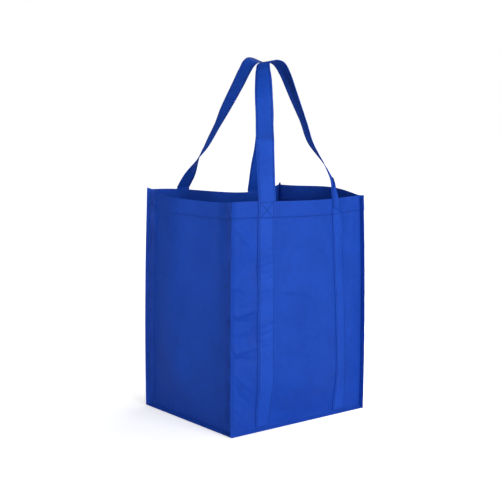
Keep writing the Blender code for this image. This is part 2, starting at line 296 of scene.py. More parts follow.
def wallNormal(wall, u, v):
    step = 0.006
    uLow, uHigh = np.maximum(u - step, -1), np.minimum(u + step, 1)
    vLow, vHigh = np.maximum(v - step, 0), np.minimum(v + step, 1)
    across = wallPoint(wall, uHigh, v) - wallPoint(wall, uLow, v)
    upwards = wallPoint(wall, u, vHigh) - wallPoint(wall, u, vLow)
    return unit(np.cross(across, upwards))


def baseFinFrame():
    drop = bagCut["seamHeight"] - bagCut["baseFinEnd"]
    length = math.hypot(bagCut["baseFinReach"], drop)
    return (bagCut["baseFinReach"], drop), (drop / length, bagCut["baseFinReach"] / length)


# Meshes from grids of points
def meshObject(name, points, faces):
    mesh = bpy.data.meshes.new(name)
    mesh.from_pydata(np.reshape(points, (-1, 3)).tolist(), [], faces)
    mesh.shade_smooth()
    made = bpy.data.objects.new(name, mesh)
    bpy.context.scene.collection.objects.link(made)
    return made


def clothData(piece, uv, mark):
    # Cloth coordinates for each face corner, and how near each point is to a line of stitches, kept as the
    # painted shade that darkens the cloth's colour there
    layer = piece.data.uv_layers.new(name="clothUv")
    layer.data.foreach_set("uv", uv.astype(np.float32).ravel())
    attribute = piece.data.attributes.new("paintedShadeMask", "FLOAT", "POINT")
    attribute.data.foreach_set("value", mark.astype(np.float32).ravel())


def gridObject(name, points, uv, seam):
    rows, columns = points.shape[:2]
    index = np.arange(rows * columns).reshape(rows, columns)
    quads = np.stack([index[:-1, :-1], index[:-1, 1:], index[1:, 1:], index[1:, :-1]], -1).reshape(-1, 4)
    made = meshObject(name, points, quads.tolist())
    clothData(made, uv.reshape(-1, 2)[quads.reshape(-1)], seam)
    return made


def thicken(piece, thickness):
    solid = piece.modifiers.new("thickness", "SOLIDIFY")
    solid.thickness, solid.offset, solid.use_even_offset = thickness, 0, True
    graph = bpy.context.evaluated_depsgraph_get()
    mesh = bpy.data.meshes.new_from_object(piece.evaluated_get(graph))
    piece.modifiers.clear()
    old, piece.data = piece.data, mesh
    bpy.data.meshes.remove(old)
    mesh.set_sharp_from_angle(angle=math.radians(50))


def steps(low, high, step):
    count = max(int(round(abs(high - low) / step)), 1)
    return [mix(low, high, i / count) for i in range(count)]


def wallLevels():
    tall = wallTall()
    line = tall - bagCut["hemStitch"]
    found = steps(0, 0.004, 0.0008) + steps(0.004, line - 0.0028, bagCut["rowStep"])
    found += steps(line - 0.0028, line + 0.0028, 0.0007)
    found += steps(line + 0.0028, tall, bagCut["rowStep"]) + [tall]
    return np.array(found) / tall


def wallShares(wall):
    wide, _ = wallSize(wall)
    found = steps(0, 0.004, 0.001) + steps(0.004, wide - 0.004, bagCut["columnStep"])
    found += steps(wide - 0.004, wide, 0.001) + [wide]
    return np.array(found) / wide * 2 - 1


def makeWall(node):
    form = walls[node]
    wide, tall = wallSize(node)
    _, _, _, outward = wallAxes(node)
    shares, levels = wallShares(node), wallLevels()
    fins = np.linspace(1, 0, 6)[:-1]  # from the allowance's free edge to the seam
    reach, face = baseFinFrame()
    half = halfLayer()

    def finPoints(end, v, inset, lift):
        name = form["ends"][end]
        side, way = finSide(node, end), finDirection(name)
        common = np.array((-way[1], way[0], 0.0))
        seed = list(corners).index(name) + 40
        wave = 0.0007 * ripple(seed, v * tall, 0.016)[:, None] * fins ** 1.5
        rise = corners[name]["finRise"] * smooth((v - 0.93) / 0.07)[:, None] * fins + lift[:, None]
        seamLine = cornerSeam(name, v) + side * column(layerOffset(v) - inset)
        return (seamLine[:, None] + way * column(bagCut["finWidth"] * fins)
                + common * column(wave) + up * column(rise))

    def rows(v, inset, lift):
        v, inset, lift = (np.asarray(x, float) for x in (v, inset, lift))
        grid = np.broadcast_to(v[:, None], (len(v), len(shares)))
        across = np.broadcast_to(shares, grid.shape)
        middle = wallPoint(node, across, grid)
        if inset.any():
            middle = middle - wallNormal(node, across, grid) * inset[:, None, None]
            middle[:, 0] = seamColumn(node, 0, v, inset)
            middle[:, -1] = seamColumn(node, 1, v, inset)
        middle = middle + up * lift[:, None, None]
        return np.concatenate([finPoints(0, v, inset, lift), middle,
                               finPoints(1, v, inset, lift)[:, ::-1]], 1)

    zero = np.zeros(1)
    base = rows(zero, zero, zero)[0]
    tips = np.concatenate([fins, np.zeros(len(shares)), fins[::-1]])
    places = np.concatenate([-fins * bagCut["finWidth"], (shares + 1) / 2 * wide,
                             wide + fins[::-1] * bagCut["finWidth"]])
    wave = 1 + bagCut["baseWave"] * ripple(form["seed"] + 9, places, 0.03) * (1 - tips)

    def allowance(share):
        # The base seam allowance, which fans round into the corner allowance at each end
        flare = outward * column(1 - tips)
        end = base + flare * (reach[0] - half + face[0] * half)
        sunk = reach[1] * np.minimum(overhang(end[:, 0], end[:, 1]) / reach[0], 1)
        lowest = bagCut["seamHeight"] - sunk + 4 * bagCut["cloth"] * tips * (1 - tips)
        place = base + flare * column(reach[0] * share ** 1.25 * wave - half + face[0] * half)
        place[:, 2] = mix(bagCut["seamHeight"], lowest, share) + face[1] * half
        return place

    fan = np.array((1.0, 0.8, 0.6, 0.4, 0.2))  # from the base allowance's free edge
    skirt = np.array([allowance(share) for share in fan])
    flat = np.zeros_like(levels)
    outer = rows(levels, flat, flat)
    turn = math.pi * np.arange(1, 6) / 6
    radius = hemStep() / 2
    fold = rows(np.ones(5), radius * (1 - np.cos(turn)), radius * np.sin(turn))
    inside = levels[levels > 1 - bagCut["hemDepth"] / tall][::-1]
    inside = np.append(inside, 1 - bagCut["hemDepth"] / tall)
    hem = rows(inside, np.full(len(inside), hemStep()), np.zeros(len(inside)))
    points = np.concatenate([skirt, outer, fold, hem])

    # Cloth coordinates in metres, and painted shade along the hem's stitch lines, beside the corner seams and
    # faintly along the base seam
    upLine = np.concatenate([-fan * math.hypot(*reach), levels * tall,
                             tall + radius * turn, tall + math.pi * radius + (1 - inside) * tall])
    uv = np.stack(np.meshgrid(places, upLine), -1)
    line = tall - bagCut["hemStitch"]
    inner = tall + math.pi * radius + bagCut["hemStitch"]
    away = np.minimum(np.abs(uv[..., 1] - line), np.abs(uv[..., 1] - inner))
    seam = np.exp(-((away / 0.0011) ** 2))
    fromSeam = np.minimum(np.abs(uv[..., 0]), np.abs(uv[..., 0] - wide))
    seam = np.maximum(seam, 0.6 * np.exp(-((fromSeam / 0.0015) ** 2)))
    seam = np.maximum(seam, 0.1 * np.exp(-((uv[..., 1] / 0.0012) ** 2)))

    piece = gridObject(form["piece"], points, uv, seam)
    thicken(piece, bagCut["cloth"])
    return piece


def makeBase():
    # Flat on the floor, turned up to its seam all round, then down into the allowance
    half = halfLayer()
    (reach, drop), face = baseFinFrame()
    flat = bagCut["cloth"] / 2
    crest = (-half, bagCut["seamHeight"] - half * face[1] / (1 + face[0]))
    tip = (reach - half * face[0], bagCut["baseFinEnd"] - half * face[1])
    foot = (-half - bagCut["turnUp"], flat)
    profile = [foot]
    for a, b in ((foot, crest), (crest, tip)):
        profile += [(mix(a[0], b[0], t), mix(a[1], b[1], t)) for t in (0.25, 0.5, 0.75, 1.0)]

    def lines(halfWidth):
        outer = [halfWidth + p[0] for p in profile]
        inner = list(np.linspace(-outer[0], outer[0], 60)[1:-1])
        return np.array([-x for x in reversed(outer)] + inner + outer)

    xs, ys = lines(bagCut["frontWidth"] / 2), lines(bagCut["gussetWidth"] / 2)
    x, y = np.meshgrid(xs, ys)
    out = overhang(x, y)
    z = np.interp(out, [p[0] for p in profile], [p[1] for p in profile])
    z = z + 0.00035 * (wander(51, x, y, 0.03) + 1) * smooth((-out - 0.006) / 0.02)
    # Painted shade in the crease along the base seam
    seam = 0.7 * np.exp(-(((out + half) / 0.0012) ** 2))
    piece = gridObject("baseCloth", np.stack([x, y, z], -1), np.stack([x, y], -1), seam)
    thicken(piece, bagCut["cloth"])
    return piece


# The straps and their loops
strapCut = {
    "width": 0.0338,
    "takeUp": 0.96,           # share of its width that a strap covers on a bulged wall
    "thickness": 0.0015,
    "stitchInset": 0.0032,    # stitch lines from the strap's edges
    "foot": 0.0015,
    "stand": 0.005,           # rises this far off the rim before it leans
    "clearance": 0.00015,
    "boxInset": 0.0036,       # the crossed box below the rim
    "boxTop": 0.0015,
    "step": 0.0024,
    "boxStep": 0.0010,
}

# Each loop from one strap's rim to the other's. A point is (along the wall, behind its plane,
# height above the rim, turn, roll): turn is the strap's width direction from along the wall.
# Folds are (strap, height, reach, depth) in millimetres. Kinks are where a loop was once folded:
# (metres from its first rim, how far it stands out, over what length). Tucks are where one half
# of a strap lies folded over the other at the rim: (strap, share left, down to, up to).
loops = {
    "front_handle": {
        "piece": "frontStrap", "wall": "front_panel", "seed": 61,
        "route": [
            (-0.075, 0.007, 0.044, -20, 0), (-0.056, 0.035, 0.099, -32, 0),
            (-0.032, 0.066, 0.156, -24, 0), (-0.013, 0.092, 0.210, -56, 2),
            (-0.005, 0.104, 0.237, -78, 3), (0.002, 0.108, 0.248, -85, 4),
            (0.021, 0.109, 0.252, -88, 6), (0.037, 0.106, 0.246, -87, 3),
            (0.046, 0.098, 0.226, -93, 0), (0.052, 0.080, 0.185, -101, 0),
            (0.056, 0.058, 0.141, -110, 0), (0.060, 0.040, 0.099, -113, 0),
            (0.075, 0.017, 0.058, -129, 0), (0.084, 0.003, 0.026, -141, 0)],
        "folds": [(0, 322, 9, 2.4), (0, 309, 8, 2.8), (0, 295, 9, 2.6), (0, 284, 7, 2.0),
                  (0, 262, 10, 1.5), (0, 200, 9, 2.7), (0, 186, 8, 2.3), (0, 170, 9, 1.6), (1, 240, 10, 1.8)],
        "kinks": [(0.112, 0.0125, 0.026)], "tucks": [(1, 0.06, 0.030, 0.050)],
    },
    "back_handle": {
        "piece": "backStrap", "wall": "back_panel", "seed": 71,
        "route": [
            (-0.096, 0.026, 0.043, -6, 0), (-0.091, 0.048, 0.084, -28, 0),
            (-0.081, 0.070, 0.141, -58, 0), (-0.063, 0.094, 0.203, -88, 3),
            (-0.052, 0.106, 0.237, -98, 9), (-0.038, 0.111, 0.251, -97, 13),
            (-0.019, 0.112, 0.255, -87, 17), (-0.007, 0.111, 0.249, -83, 15),
            (0.002, 0.107, 0.233, -84, 6), (0.010, 0.096, 0.207, -86, 0),
            (0.024, 0.073, 0.159, -94, 0), (0.034, 0.061, 0.128, -106, 0),
            (0.046, 0.044, 0.091, -112, 0), (0.057, 0.029, 0.063, -130, 0),
            (0.066, 0.012, 0.030, -168, 0)],
        "folds": [(0, 300, 8, 0.5), (0, 180, 8, 0.4), (1, 270, 8, 0.5), (1, 150, 9, 0.4)],
        "kinks": [], "tucks": [],
    },
}


def spline(points, t):
    # Catmull-Rom through the points, t from 0 to 1
    last = len(points) - 1
    i = min(int(t * last), last - 1)
    f = t * last - i
    a, b = points[max(i - 1, 0)], points[i]
    c, d = points[i + 1], points[min(i + 2, last)]
    return [0.5 * (2 * q + (r - p) * f + (2 * p - 5 * q + 4 * r - s) * f * f
                   + (3 * q - p - 3 * r + s) * f ** 3) for p, q, r, s in zip(a, b, c, d)]


def stitchLine():
    # Share of a strap's half width at which its stitch lines run
    return 1 - strapCut["stitchInset"] * 2 / strapCut["width"]


def halfShare():
    # Half a sewn strap as a share of half its wall
    return strapCut["width"] / bagCut["frontWidth"] * strapCut["takeUp"]


def strapShares():
    # Places across a strap: closer together at the stitch lines and the folded edges
    line = stitchLine()
    sides = [line - 0.12, line - 0.06, line, line + 0.06, 0.94, 0.975]
    inner = list(np.linspace(-(line - 0.12), line - 0.12, 22)[1:-1])
    return np.array([-1] + [-x for x in reversed(sides)] + inner + sides + [1])


def strapOffset():
    return bagCut["cloth"] / 2 + strapCut["clearance"] + strapCut["thickness"] / 2


def strapCentre(wall, index, v):
    base, rim = walls[wall]["straps"][index]
    return mix(base, rim, smooth(v))


def strapLevels():
    tall = wallTall()
    box = tall - bagCut["hemStitch"] - 0.002
    found = steps(strapCut["foot"], box, strapCut["step"]) + steps(box, tall, strapCut["boxStep"]) + [tall]
    return np.array(found) / tall


def boxMark(across, below):
    # Nearness to the crossed box of stitches under the rim, 0 to 1
    side = strapCut["width"] / 2 - strapCut["boxInset"]
    top, bottom = strapCut["boxTop"], bagCut["hemStitch"]
    lines = [((-side, top), (side, top)), ((-side, bottom), (side, bottom)),
             ((-side, top), (side, bottom)), ((-side, bottom), (side, top))]
    mark = np.zeros(np.shape(across))
    for (a0, b0), (a1, b1) in lines:
        length = math.hypot(a1 - a0, b1 - b0)
        wayA, wayB = (a1 - a0) / length, (b1 - b0) / length
        share = np.clip((across - a0) * wayA + (below - b0) * wayB, 0, length)
        away = np.hypot(across - a0 - share * wayA, below - b0 - share * wayB)
        mark = np.maximum(mark, np.exp(-((away / 0.0009) ** 2)))
    return mark


def makeStrap(node):
    form = loops[node]
    wall = form["wall"]
    left, right, along, outward = wallAxes(wall)
    middle = (left + right) / 2
    tall = wallTall()
    shares, levels = strapShares(), strapLevels()
    halfWidth = strapCut["width"] / 2
    tucked = [tuck[0] for tuck in form["tucks"]]

    def sewn(index):
        grid = np.broadcast_to(levels[:, None], (len(levels), len(shares)))
        u = strapCentre(wall, index, grid) + shares * halfShare()
        normal = wallNormal(wall, u, grid)
        folds = np.zeros(grid.shape)
        for side, height, reach, deep in form["folds"]:
            if side == index:
                waver = 0.003 * ripple(form["seed"] + height, shares * halfWidth, 0.01)
                off = grid * tall - height / 1000 - shares * 0.006 - waver
                folds += deep / 1000 * np.exp(-((off / (reach / 2000)) ** 2)) * (1 - shares ** 2)
        folds += 0.00025 * (ripple(form["seed"] + 3 + index, grid * tall, 0.02) + 0.6) * (1 - shares ** 4)
        points = wallPoint(wall, u, grid) + normal * column(strapOffset() + folds)
        below = (1 - grid) * tall
        mark = boxMark(shares * halfWidth, below)
        if index in tucked:
            mark = mark * np.exp(-(((below - bagCut["hemStitch"]) / 0.0012) ** 2))
        return points, normal, mark

    rising, risingNormal, risingMark = sewn(0)
    falling, fallingNormal, fallingMark = (x[::-1, ::-1] for x in sewn(1))
    centre = len(shares) // 2

    def stand(row, below):
        # Where the strap has just left the rim: point and turn of its width
        upwards = unit(row[centre] - below[centre])
        across = unit(row[-1] - row[0])
        turn = math.degrees(math.atan2(-across @ outward, across @ along))
        lifted = row[centre] + upwards * strapCut["stand"]
        return (float((lifted - middle) @ along), float(-(lifted - middle) @ outward),
                float(lifted[2]) - bagCut["rimHeight"], turn, 0)

    start = stand(rising[-1], rising[-2])
    finish = stand(falling[0], falling[1])
    finish = finish[:3] + (finish[3] - 360 if finish[3] > 0 else finish[3], 0)
    route = [start] + form["route"] + [finish]
    count = 300
    stations = np.array([spline(route, i / (count - 1)) for i in range(count)])
    centres = (np.array((middle[0], middle[1], 0.0)) + along * stations[:, 0:1]
               - outward * stations[:, 1:2] + up * (bagCut["rimHeight"] + stations[:, 2:3]))
    ahead = unit(np.gradient(centres, axis=0))
    turn, roll = np.radians(stations[:, 3:4]), np.radians(stations[:, 4:5])
    level = along * np.cos(turn) - outward * np.sin(turn)
    across = level * np.cos(roll) + up * np.sin(roll)
    across = unit(across - ahead * (across * ahead).sum(1, keepdims=True))
    facing = unit(np.cross(across, ahead))
    far = np.concatenate([[0], np.cumsum(np.linalg.norm(np.diff(centres, axis=0), axis=1))])
    ends = smooth(far / 0.03) * smooth((far[-1] - far) / 0.03)
    for at, deep, reach in form["kinks"]:
        soft = np.hypot(far - at, 0.002) - 0.002
        centres = centres + facing * column(deep * np.exp(-soft / reach) * ends)
    cup = (0.0011 * ripple(form["seed"] + 5, far, 0.05) * ends)[:, None] * (1 - shares ** 2)
    ruffle = 0.0002 * ripple(form["seed"] + 8, far, 0.011)[:, None] * np.abs(shares)
    loop = (centres[:, None] + across[:, None] * column(shares * halfWidth)
            + facing[:, None] * column(cup + ruffle))
    loopNormal = np.broadcast_to(facing[:, None], loop.shape)
    mark = np.zeros(loop.shape[:2])

    spine = np.concatenate([rising, loop, falling])
    normal = np.concatenate([risingNormal, loopNormal, fallingNormal])
    mark = np.concatenate([risingMark, mark, fallingMark])
    length = np.concatenate([[0], np.cumsum(np.linalg.norm(np.diff(spine[:, centre], axis=0), axis=1))])
    for index, kept, down, above in form["tucks"]:
        sign = 1 - 2 * index
        climbed = (length - length[len(levels) if index == 0 else -len(levels)]) * sign
        closed = smooth((above - climbed) / above * 1.4) * smooth((down + climbed) / down * 1.8)
        over = np.maximum(shares * sign - mix(1.0, kept, closed)[:, None], 0)
        turned = math.pi * smooth(over / 0.16)
        side = unit(spine[:, -1:] - spine[:, :1]) * sign
        spine = (spine - side * column(2 * over * halfWidth - np.sin(turned) * strapCut["thickness"] / 2)
                 + normal * column((1 - np.cos(turned)) * strapCut["thickness"] * 0.62))
        normal = normal * column(np.cos(turned)) - side * column(np.sin(turned))
    # The strap is pinched thinner at its stitch lines and the crossed box, and painted darker there as shade
    away = np.abs(np.abs(shares) - stitchLine()) * halfWidth
    pinchAndShade = np.maximum(mark, np.exp(-((away / 0.0010) ** 2)))
    edge = np.sqrt(np.clip(1 - ((np.abs(shares) - 0.955) / 0.045).clip(0) ** 2, 0, 1))
    thick = strapCut["thickness"] / 2 * edge * (1 - 0.42 * pinchAndShade)
    top = spine + normal * column(thick)
    under = spine - normal * column(thick)
    ring = np.concatenate([top, under[:, -2:0:-1]], 1)
    ring = np.concatenate([ring, ring[:, :1]], 1)
    acrossLine = np.concatenate([shares * halfWidth, halfWidth * 2 - shares[-2:0:-1] * halfWidth,
                                 [halfWidth * 3]])
    uv = np.stack(np.meshgrid(acrossLine, length), -1)
    paintedShadeRing = np.concatenate([pinchAndShade, pinchAndShade[:, -2:0:-1], pinchAndShade[:, :1]], 1)
    piece = tubeObject(form["piece"], ring[:, :-1], uv, paintedShadeRing)
    return {"piece": piece, "top": top, "under": under, "normal": normal, "shares": shares,
            "length": length, "sewnRows": len(levels), "levels": levels, "tucked": tucked}


def tubeObject(name, ring, uv, mark):
    # A closed loft: each row of points is one ring, the two ends are closed
    rows, columns = ring.shape[:2]
    index = np.arange(rows * columns).reshape(rows, columns)
    nextColumn = np.roll(index, -1, 1)
    quads = np.stack([index[:-1], nextColumn[:-1], nextColumn[1:], index[1:]], -1).reshape(-1, 4)
    faces = quads.tolist() + [index[0, ::-1].tolist(), index[-1].tolist()]
    made = meshObject(name, ring, faces)
    i, j = np.meshgrid(np.arange(rows - 1), np.arange(columns), indexing="ij")
    corner = np.stack([uv[i, j], uv[i, j + 1], uv[i + 1, j + 1], uv[i + 1, j]], -2).reshape(-1, 2)
    corner = np.concatenate([corner, np.zeros((2 * columns, 2))])
    clothData(made, corner, mark[:, :columns])
    made.data.set_sharp_from_angle(angle=math.radians(60))
    return made


# The stitches
threadCut = {
    "thickness": 0.00042,
    "stitch": 0.0034,     # needle hole to needle hole
    "gap": 0.0005,
    "sides": 5,
}


def resample(path, normal, step):
    length = np.concatenate([[0], np.cumsum(np.linalg.norm(np.diff(path, axis=0), axis=1))])
    count = max(int(length[-1] / step), 2)
    at = np.linspace(0, length[-1], count + 1)
    places = np.stack([np.interp(at, length, path[:, k]) for k in range(3)], 1)
    ways = unit(np.stack([np.interp(at, length, normal[:, k]) for k in range(3)], 1))
    return places, ways


def stitchRow(path, normal):
    # Each stitch rises out of one needle hole and sinks into the next
    places, ways = resample(np.asarray(path), np.asarray(normal), threadCut["stitch"])
    radius = threadCut["thickness"] / 2
    start, end = places[:-1], places[1:]
    out = unit(ways[:-1] + ways[1:])
    along = end - start
    size = np.linalg.norm(along, axis=1, keepdims=True)
    along = along / size
    side = unit(np.cross(along, out))
    out = np.cross(side, along)
    inset = threadCut["gap"] / 2
    rings = []
    for share, rise, wide in ((0, -1.1, 0.35), (0.2, 0.35, 1.0), (0.8, 0.35, 1.0), (1, -1.1, 0.35)):
        centre = start + along * (inset + (size - 2 * inset) * share) + out * radius * rise
        turns = np.arange(threadCut["sides"]) / threadCut["sides"] * 2 * math.pi
        ring = (centre[:, None] + side[:, None] * (np.cos(turns) * radius * wide)[None, :, None]
                + out[:, None] * (np.sin(turns) * radius * wide)[None, :, None])
        rings.append(ring)
    return np.stack(rings, 1)  # stitches, rings, sides, 3


def stitchObject(name, rowsOfStitches):
    stitches = np.concatenate(rowsOfStitches)
    count, rings, sides = stitches.shape[:3]
    index = np.arange(count * rings * sides).reshape(count, rings, sides)
    turned = np.roll(index, -1, 2)
    quads = np.stack([index[:, :-1], turned[:, :-1], turned[:, 1:], index[:, 1:]], -1).reshape(-1, 4)
    faces = quads.tolist() + index[:, 0, ::-1].tolist() + index[:, -1].tolist()
    return meshObject(name, stitches, faces)


def hemRows():
    found = []
    for node in walls:
        v = np.full(160, 1 - bagCut["hemStitch"] / wallTall())
        u = np.linspace(-0.992, 0.992, 160)
        point, normal = wallPoint(node, u, v), wallNormal(node, u, v)
        found.append(stitchRow(point + normal * bagCut["cloth"] / 2, normal))
        inner = hemStep() + bagCut["cloth"] / 2
        found.append(stitchRow(point - normal * inner, -normal))
    return found


def cornerRows():
    # Through both layers of a corner's allowance, close to the walls
    found = []
    for node, form in walls.items():
        v = np.linspace(0.004, 0.996, 220)
        for end in (0, 1):
            side, way = finSide(node, end), finDirection(form["ends"][end])
            path = (cornerSeam(form["ends"][end], v) + side * column(layerOffset(v) + bagCut["cloth"] / 2)
                    + way * 0.0028)
            found.append(stitchRow(path, np.broadcast_to(side, path.shape)))
    return found


def baseRows():
    found = []
    reach, face = baseFinFrame()
    half = halfLayer()
    for node in walls:
        _, _, _, outward = wallAxes(node)
        u = np.linspace(-0.985, 0.985, 120)
        base = wallPoint(node, u, np.zeros(120))
        out = outward * face[0] + up * face[1]
        path = base - outward * half + outward * reach[0] * 0.4 - up * reach[1] * 0.4
        path = path + out * (half + bagCut["cloth"] / 2)
        found.append(stitchRow(path, np.broadcast_to(out, path.shape)))
    return found


def strapRows(strap):
    found = []
    shares, length, sewnRows = strap["shares"], strap["length"], strap["sewnRows"]
    total = len(length)
    for side in (-stitchLine(), stitchLine()):
        k = int(np.argmin(np.abs(shares - side)))
        found.append(stitchRow(strap["top"][2:-2, k], strap["normal"][2:-2, k]))
        loop = slice(sewnRows + 2, total - sewnRows - 2)
        found.append(stitchRow(strap["under"][loop, k], -strap["normal"][loop, k]))
    halfWidth = strapCut["width"] / 2
    boxSide = (halfWidth - strapCut["boxInset"]) / halfWidth
    below = (1 - strap["levels"]) * wallTall()

    def onStrap(index, share, depth):
        # The strap's outer face at a place across it and a depth under the rim
        row = np.interp(-depth, -below, np.arange(sewnRows))
        row = row if index == 0 else total - 1 - row
        share = share if index == 0 else -share
        k = np.interp(share, shares, np.arange(len(shares)))
        r0, k0 = int(min(row, total - 2)), int(min(k, len(shares) - 2))
        a, b = row - r0, k - k0
        top = strap["top"]
        point = mix(mix(top[r0, k0], top[r0, k0 + 1], b), mix(top[r0 + 1, k0], top[r0 + 1, k0 + 1], b), a)
        return point, strap["normal"][r0, k0]

    corner = {"a": (-boxSide, strapCut["boxTop"]), "b": (boxSide, strapCut["boxTop"]),
              "c": (boxSide, bagCut["hemStitch"]), "d": (-boxSide, bagCut["hemStitch"])}
    for index in (0, 1):
        for one, two in ("cd",) if index in strap["tucked"] else ("ab", "cd", "ac", "db"):
            (a0, b0), (a1, b1) = corner[one], corner[two]
            places = [onStrap(index, mix(a0, a1, t), mix(b0, b1, t)) for t in np.linspace(0, 1, 24)]
            found.append(stitchRow([p for p, _ in places], [n for _, n in places]))
    return found


def insideRows(strap, node):
    # The same lines seen from inside the bag
    found = []
    wall = loops[node]["wall"]
    v = np.linspace(0.02, 0.997, 200)
    for index in (0, 1):
        for side in (-stitchLine(), stitchLine()):
            u = strapCentre(wall, index, v) + side * halfShare()
            normal = wallNormal(wall, u, v)
            inside = (1 - v) * wallTall() < bagCut["hemDepth"] + 0.0005
            deep = bagCut["cloth"] / 2 + np.where(inside, hemStep(), 0)
            found.append(stitchRow(wallPoint(wall, u, v) - normal * column(deep), -normal))
    return found


# Materials
def newGroup(name, inputs, outputs):
    group = bpy.data.node_groups.new(name, "ShaderNodeTree")
    for label, kind, value in inputs:
        socket = group.interface.new_socket(name=label, in_out="INPUT", socket_type=kind)
        if value is not None:
            socket.default_value = value
    for label, kind in outputs:
        group.interface.new_socket(name=label, in_out="OUTPUT", socket_type=kind)
    return group, group.nodes.new("NodeGroupInput"), group.nodes.new("NodeGroupOutput")


def give(tree, node, sockets):
    # Each socket gets a number, a colour or a link from another node
    for label, value in sockets.items():
        if isinstance(value, bpy.types.NodeSocket):
            tree.links.new(value, node.inputs[label])
        else:
            node.inputs[label].default_value = value


def addNode(tree, kind, sockets=None, **settings):
    node = tree.nodes.new("ShaderNode" + kind)
    for label, value in settings.items():
        setattr(node, label, value)
    give(tree, node, sockets or {})
    return node


def mathNode(tree, operation, *values):
    return addNode(tree, "Math", dict(enumerate(values)), operation=operation).outputs[0]


def newMaterial(name):
    made = bpy.data.materials.new(name)
    made.use_nodes = True
    return made, made.node_tree, made.node_tree.nodes["Principled BSDF"]


def spunClothGroup():
    # Bonded fibre cloth: rows of tiny pressed points, cloudy fibre density, and painted shade along the seams
    # and stitch lines
    group, given, result = newGroup(
        "spunCloth",
        [("Thin Colour", "NodeSocketColor", (0.0, 0.05, 0.35, 1)),
         ("Dense Colour", "NodeSocketColor", (0.0, 0.06, 0.45, 1)),
         ("Point Spacing", "NodeSocketFloat", 0.0011),
         ("Cloud Size", "NodeSocketFloat", 0.012),
         ("Painted Seam Shade", "NodeSocketFloat", 0.4)],
        [("Colour", "NodeSocketColor"), ("Height", "NodeSocketFloat"), ("Roughness", "NodeSocketFloat")])

    def maths(operation, *values):
        return mathNode(group, operation, *values)

    def clothNoise(**sockets):
        return addNode(group, "TexNoise", {"Vector": cloth, **sockets}).outputs[0]

    cloth = addNode(group, "UVMap", uv_map="clothUv").outputs["UV"]
    split = addNode(group, "SeparateXYZ", {0: cloth}).outputs
    turns = maths("DIVIDE", 2 * math.pi, given.outputs["Point Spacing"])
    waves = [maths("COSINE", maths("MULTIPLY", maths(way, split[0], split[1]), turns))
             for way in ("ADD", "SUBTRACT")]
    pressed = maths("POWER", maths("MAXIMUM", maths("MULTIPLY", *waves), 0.0), 2.0)

    cloud = clothNoise(Scale=maths("DIVIDE", 1.0, given.outputs["Cloud Size"]), Detail=4)
    fibres = clothNoise(Scale=900, Detail=3, Distortion=1.2)
    broad = clothNoise(Scale=17, Detail=1)
    dense = maths("ADD", maths("MULTIPLY", cloud, 0.4), maths("MULTIPLY", fibres, 0.2))
    dense = maths("ADD", dense, maths("MULTIPLY", broad, 0.4))
    ramp = addNode(group, "MapRange", {"Value": dense, "From Min": 0.36, "From Max": 0.64})
    blend = addNode(group, "Mix", {"Factor": ramp.outputs[0], "A": given.outputs["Thin Colour"],
                                   "B": given.outputs["Dense Colour"]}, data_type="RGBA")

    # Painted shade: the colour darkens along the seams and stitch lines, and the pressed points are a little
    # darker too
    seam = addNode(group, "Attribute", attribute_name="paintedShadeMask")
    seamShadeAndPoints = maths("MULTIPLY", seam.outputs["Fac"], given.outputs["Painted Seam Shade"])
    seamShadeAndPoints = maths("ADD", seamShadeAndPoints, maths("MULTIPLY", pressed, 0.10))
    darker = addNode(group, "Mix", {"Factor": seamShadeAndPoints, "A": blend.outputs["Result"],
                                    "B": (0.02, 0.10, 0.20, 1)}, data_type="RGBA", blend_type="MULTIPLY")
    height = maths("SUBTRACT", maths("MULTIPLY", fibres, 0.35), maths("MULTIPLY", pressed, 0.6))
    height = maths("ADD", height, maths("MULTIPLY", cloud, 1.2))
    rough = maths("ADD", maths("MULTIPLY", fibres, 0.16), maths("MULTIPLY", pressed, -0.14))
    give(group, result, {"Colour": darker.outputs["Result"], "Height": height,
                         "Roughness": maths("ADD", rough, 0.50)})
    return group


spunCloth = spunClothGroup()

# The seam shade setting is how far painted shade darkens each cloth along its seams and stitch lines
wallLook = {"name": "wallCloth", "thin": (0.0055, 0.048, 0.355, 1), "dense": (0.0075, 0.060, 0.430, 1),
            "spacing": 0.0011, "cloud": 0.011, "paintedSeamShade": 0.22, "bump": 0.00012}
strapLook = {"name": "strapCloth", "thin": (0.0068, 0.055, 0.400, 1), "dense": (0.0092, 0.070, 0.475, 1),
             "spacing": 0.0011, "cloud": 0.008, "paintedSeamShade": 0.4, "bump": 0.00012}


def clothMaterial(look):
    made, tree, shader = newMaterial(look["name"])
    cloth = addNode(tree, "Group", node_tree=spunCloth)
    give(tree, cloth, {"Thin Colour": look["thin"], "Dense Colour": look["dense"],
                       "Point Spacing": look["spacing"], "Cloud Size": look["cloud"],
                       "Painted Seam Shade": look["paintedSeamShade"]})
    bump = addNode(tree, "Bump", {"Distance": look["bump"], "Height": cloth.outputs["Height"]})
    give(tree, shader, {"Base Color": cloth.outputs["Colour"], "Roughness": cloth.outputs["Roughness"],
                        "Normal": bump.outputs["Normal"], "Specular IOR Level": 0.12})
    return made


def threadMaterial():
    made, tree, shader = newMaterial("sewingThread")
    place = addNode(tree, "TexCoord").outputs["Object"]
    twist = addNode(tree, "TexNoise", {"Vector": place, "Scale": 2500}).outputs[0]
    colour = addNode(tree, "Mix", {"Factor": twist, "A": (0.0003, 0.022, 0.20, 1),
                                   "B": (0.0006, 0.034, 0.29, 1)}, data_type="RGBA")
    bump = addNode(tree, "Bump", {"Distance": 0.00008, "Height": twist})
    give(tree, shader, {"Base Color": colour.outputs["Result"], "Normal": bump.outputs["Normal"],
                        "Roughness": 0.55, "Specular IOR Level": 0.15})
    return made


